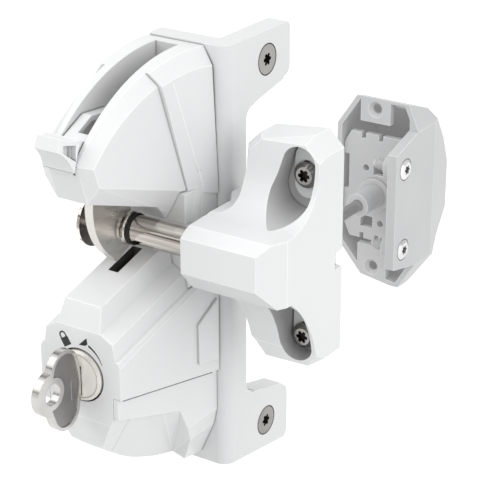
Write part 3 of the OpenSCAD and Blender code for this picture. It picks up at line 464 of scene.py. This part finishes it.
PRINT_LIFT = 0.06
PAD_AT = (-26.85, 70.05)
PAD_TURN = 32.0
PAD_HALF_W = 1.72
PAD_HALF_H = 1.62
SHACKLE_IN = 0.95
SHACKLE_OUT = 1.5
SHACKLE_FOOT = 1.6
SHACKLE_TOP = 2.5
ARROW_CENTRE = (-19.87, 59.27)


def printed_piece(name, outlines):
    """Thin mark on the front face, from outlines in X and Z."""
    bm = bmesh.new()
    for outline in outlines:
        bm.faces.new([bm.verts.new(mm(x, FRONT_Y - PRINT_LIFT, z)) for x, z in outline])
    bmesh.ops.recalc_face_normals(bm, faces=bm.faces[:])
    for face in bm.faces:
        if face.normal.y > 0:
            face.normal_flip()
    new_piece(name, bm, print_and_shadow_ink, "latch")


def arc_band(start, end, inner, outer, centre, steps=24):
    """Quads of a curved strip whose radii run from the first to the last of inner and outer."""
    quads = []
    for i in range(steps):
        edge = []
        for k in (i, i + 1):
            t = k / steps
            angle = math.radians(start + (end - start) * t)
            low = inner[0] + (inner[1] - inner[0]) * t
            high = outer[0] + (outer[1] - outer[0]) * t
            edge.append([(centre[0] + r * math.cos(angle), centre[1] + r * math.sin(angle))
                         for r in (low, high)])
        quads.append([edge[0][0], edge[0][1], edge[1][1], edge[1][0]])
    return quads


def turned(points, centre, angle):
    c, s = math.cos(math.radians(angle)), math.sin(math.radians(angle))
    return [(centre[0] + x * c - z * s, centre[1] + x * s + z * c) for x, z in points]


padlock = [[(-PAD_HALF_W, -PAD_HALF_H), (PAD_HALF_W, -PAD_HALF_H), (PAD_HALF_W, PAD_HALF_H),
            (-PAD_HALF_W, PAD_HALF_H)]]
padlock += arc_band(0, 180, (SHACKLE_IN, SHACKLE_IN), (SHACKLE_OUT, SHACKLE_OUT), (0, SHACKLE_TOP))
for side in (-1, 1):
    padlock.append([(side * SHACKLE_IN, SHACKLE_FOOT), (side * SHACKLE_OUT, SHACKLE_FOOT),
                    (side * SHACKLE_OUT, SHACKLE_TOP), (side * SHACKLE_IN, SHACKLE_TOP)])
printed_piece("locked_mark", [turned(outline, PAD_AT, PAD_TURN) for outline in padlock])

arrow = arc_band(76, 33, (11.5, 10.15), (12.25, 10.3), ARROW_CENTRE)
arrow.append([(-21.2, 70.2), (-18.5, 70.5), (-17.4, 71.2), (-17.7, 73.6)])
printed_piece("turn_mark", arrow)


# Screw threads, and painted shadow rings round the countersunk heads

TURN_STEPS = 28
# Radius of the thread's root and of its faded end, as shares of the core's radius
ROOT = 0.85
FADED = 0.9
# Half the width of the ridge, as a share of the pitch
RIDGE_HALF = 0.32


def thread(name, origin, axis, length, r_core, r_crest, pitch, mat, body, taper=4.0):
    """Helical thread round a shank, which fades into its pointed end."""
    along = Vector(axis)
    side = along.orthogonal().normalized()
    up = along.cross(side)
    bm = bmesh.new()
    rows = []
    for i in range(int(length / pitch * TURN_STEPS) + 1):
        s = i / TURN_STEPS * pitch
        fade = min(1.0, i / TURN_STEPS, max(0.0, (length - s) / taper))
        angle = 2 * math.pi * i / TURN_STEPS
        out = side * math.cos(angle) + up * math.sin(angle)
        crest = r_core * FADED + (r_crest - r_core * FADED) * fade
        root = r_core * ROOT
        rows.append([bm.verts.new(mm(*(Vector(origin) + along * (s + shift) + out * r)))
                     for shift, r in ((-RIDGE_HALF * pitch, root), (0.0, crest), (RIDGE_HALF * pitch, root))])
    join_rows(bm, rows)
    bmesh.ops.recalc_face_normals(bm, faces=bm.faces[:])
    new_piece(name, bm, mat, body, smooth=True)


def shadow_ring(name, centre, radius, width, mat, body, steps=72):
    """Thin ring of painted shadow in a face square to X, where a head meets its countersink."""
    bm = bmesh.new()
    rows = []
    for i in range(steps):
        a = 2 * math.pi * i / steps
        rows.append([bm.verts.new(mm(centre[0], centre[1] + r * math.cos(a), centre[2] + r * math.sin(a)))
                     for r in (radius, radius + width)])
    join_rows(bm, rows, closed=True)
    new_piece(name, bm, mat, body)


for i, z in enumerate(POST_SCREW_ZS):
    thread(f"post_thread_{i}", (-9.5, POST_SCREW_Y, z), (-1, 0, 0), 23.0, 1.8, 2.7, 2.0, screw_steel, "latch")
for i, z in enumerate(GATE_SCREW_ZS):
    thread(f"gate_thread_{i}", (GATE_SCREW_X, 8.6, z), (0, 1, 0), 10.5, 1.9, 2.8, 1.8, screw_steel, "striker",
           taper=3.0)
for i, z in enumerate(SIDE_SCREW_ZS):
    thread(f"unit_thread_{i}", (-9.0, SIDE_SCREW_Y, z), (-1, 0, 0), 6.0, 1.8, 2.6, 1.6, grey, "latch",
           taper=2.5)
for i, z in enumerate(POST_SCREW_ZS):
    shadow_ring(f"post_head_painted_shadow_{i}", (0.03, POST_SCREW_Y, z), 5.5, 0.45, print_and_shadow_ink, "latch")


# Shadow under the edge where the housing's halves meet

SPLIT_X = 16.33
SPLIT_Z = 53.2
SPLIT_SLOPE = 0.218
SPLIT_SHADOW = 0.95

for side, name in ((-1, "split_shadow_left"), (1, "split_shadow_right")):
    bm = bmesh.new()
    rows = []
    for y in range(-57, 0, 3):
        z = SPLIT_Z - SPLIT_SLOPE * (y - FRONT_Y)
        rows.append([bm.verts.new(mm(MID_X + side * SPLIT_X, y, edge_z)) for edge_z in (z, z - SPLIT_SHADOW)])
    join_rows(bm, rows)
    new_piece(name, bm, seam, "latch")


# Painted highlight along the crease where the band of the upper housing turns into its rear side

BAND_CREASE = [(-22.1, 157.0), (-8.8, 116.5), (-9.9, 104.5)]
CREASE_WIDTH = 0.5
CREASE_LIFT = 0.00003
CREASE_STEPS = 8
# Clear of the housing's sides, where the rays that find them start
OUTSIDE = 40.0

shell = BVHTree.FromPolygons([v.co for v in nodes["housing"].data.vertices],
                             [p.vertices[:] for p in nodes["housing"].data.polygons])


def crease(name, points, side):
    """Narrow strip of painted highlight that follows the housing's side along a line of Y and Z points."""
    bm = bmesh.new()
    rows = []
    for (y0, z0), (y1, z1) in zip(points, points[1:]):
        length = math.hypot(y1 - y0, z1 - z0)
        half = CREASE_WIDTH / 2
        across = ((z1 - z0) / length * half, -(y1 - y0) / length * half)
        for i in range(CREASE_STEPS + 1):
            y = y0 + (y1 - y0) * i / CREASE_STEPS
            z = z0 + (z1 - z0) * i / CREASE_STEPS
            row = []
            for k in (-1, 1):
                start = mm(MID_X + side * OUTSIDE, y + k * across[0], z + k * across[1])
                hit = shell.ray_cast(start, Vector((-side, 0, 0)))[0]
                row.append(hit + Vector((side * CREASE_LIFT, 0, 0)) if hit else None)
            if None not in row:
                rows.append([bm.verts.new(co) for co in row])
    join_rows(bm, rows)
    new_piece(name, bm, crease_highlight_white, "latch")


crease("band_crease_highlight_right", BAND_CREASE, 1)
crease("band_crease_highlight_left", BAND_CREASE, -1)


# Floor

FLOOR_SEEN = (0.985, 0.985, 0.985)
FLOOR_BOUNCE = (0.6, 0.6, 0.6)
FLOOR_GLOW = 0.06
FLOOR_HALF = 6.0
FLOOR_DROP = 0.12


def floor_material():
    """White floor that bounces less light than it shows, so that undersides stay shaded."""
    n = Nodes("floor_white")
    n.bsdf.inputs["Roughness"].default_value = 0.9
    n.bsdf.inputs["Specular IOR Level"].default_value = 0.0
    eye = n.add("ShaderNodeLightPath")
    direct = n.compute("MAXIMUM", eye.outputs["Is Camera Ray"], eye.outputs["Is Glossy Ray"])
    n.link(n.blend(direct, FLOOR_BOUNCE, FLOOR_SEEN), n.bsdf.inputs["Base Color"])
    n.bsdf.inputs["Emission Color"].default_value = (1, 1, 1, 1)
    n.link(n.ramp(eye.outputs["Is Camera Ray"], 0, FLOOR_GLOW, 0, 1), n.bsdf.inputs["Emission Strength"])
    return n.mat


floor_mesh = bpy.data.meshes.new("floor")
low = cad_box[0][2] - FLOOR_DROP
corners = [(x * FLOOR_HALF, y * FLOOR_HALF, low) for x, y in ((-1, -1), (1, -1), (1, 1), (-1, 1))]
floor_mesh.from_pydata(corners, [], [(0, 1, 2, 3)])
floor = bpy.data.objects.new("floor", floor_mesh)
bpy.context.scene.collection.objects.link(floor)
floor_mesh.materials.append(floor_material())


# World: even light that grows towards the top, and bright and dark cards for reflections

world = bpy.data.worlds.new("studio")
bpy.context.scene.world = world
world.use_nodes = True
wt = world.node_tree


def wnode(kind, **values):
    node = wt.nodes.new(kind)
    for key, value in values.items():
        node.inputs[key].default_value = value
    return node


bg = wt.nodes["Background"]
bg.inputs["Color"].default_value = (1, 1, 1, 1)
path = wnode("ShaderNodeLightPath")
place = wnode("ShaderNodeTexCoord")
height = wnode("ShaderNodeSeparateXYZ")
wt.links.new(place.outputs["Generated"], height.inputs["Vector"])
soft = wnode("ShaderNodeMapRange", **{"From Min": -0.6, "From Max": 0.9, "To Min": 0.63, "To Max": 1.07})
wt.links.new(height.outputs["Z"], soft.inputs["Value"])
cards = wnode("ShaderNodeTexNoise", **{"Scale": 1.6, "Detail": 1.0})
wt.links.new(place.outputs["Generated"], cards.inputs["Vector"])
sway = wnode("ShaderNodeMapRange", **{"From Min": 0.3, "From Max": 0.7, "To Min": -0.16, "To Max": 0.16})
wt.links.new(cards.outputs["Fac"], sway.inputs["Value"])
level = wnode("ShaderNodeMath")
wt.links.new(height.outputs["Z"], level.inputs[0])
wt.links.new(sway.outputs["Result"], level.inputs[1])
bands = wnode("ShaderNodeValToRGB")
wt.links.new(level.outputs["Value"], bands.inputs["Fac"])
# Heights of the card edges, and how bright the card is there
CARD_EDGES = ((0.08, 0.9), (0.16, 0.12), (0.3, 0.06), (0.38, 1.0),
              (0.52, 1.0), (0.6, 0.1), (0.74, 0.08), (0.82, 1.0))
for spot, value in CARD_EDGES:
    stop = bands.color_ramp.elements.new(spot)
    stop.color = (value, value, value, 1)
bands.color_ramp.elements[0].color = (0.7, 0.7, 0.7, 1)
card = wnode("ShaderNodeMapRange", **{"To Min": 0.0, "To Max": 1.25})
wt.links.new(bands.outputs["Color"], card.inputs["Value"])
glossy = wnode("ShaderNodeMix")
wt.links.new(path.outputs["Is Glossy Ray"], glossy.inputs["Factor"])
wt.links.new(soft.outputs["Result"], glossy.inputs["A"])
wt.links.new(card.outputs["Result"], glossy.inputs["B"])
seen = wnode("ShaderNodeMix", B=1.0)
wt.links.new(path.outputs["Is Camera Ray"], seen.inputs["Factor"])
wt.links.new(glossy.outputs["Result"], seen.inputs["A"])
wt.links.new(seen.outputs["Result"], bg.inputs["Strength"])


def lamp(name, place, size, power):
    """Square area lamp that shines at the frame's origin."""
    data = bpy.data.lights.new(name, "AREA")
    data.shape = "RECTANGLE"
    data.size = size
    data.size_y = size
    data.energy = power
    obj = bpy.data.objects.new(name, data)
    obj.location = place
    obj.rotation_euler = (-Vector(place)).to_track_quat("-Z", "Y").to_euler()
    bpy.context.scene.collection.objects.link(obj)


lamp("key", (-0.7, -0.9, 1.1), 1.1, 5.8)
lamp("side", (1.3, -0.3, 0.5), 1.0, 5.4)

view = bpy.context.scene.view_settings
view.view_transform = "Standard"
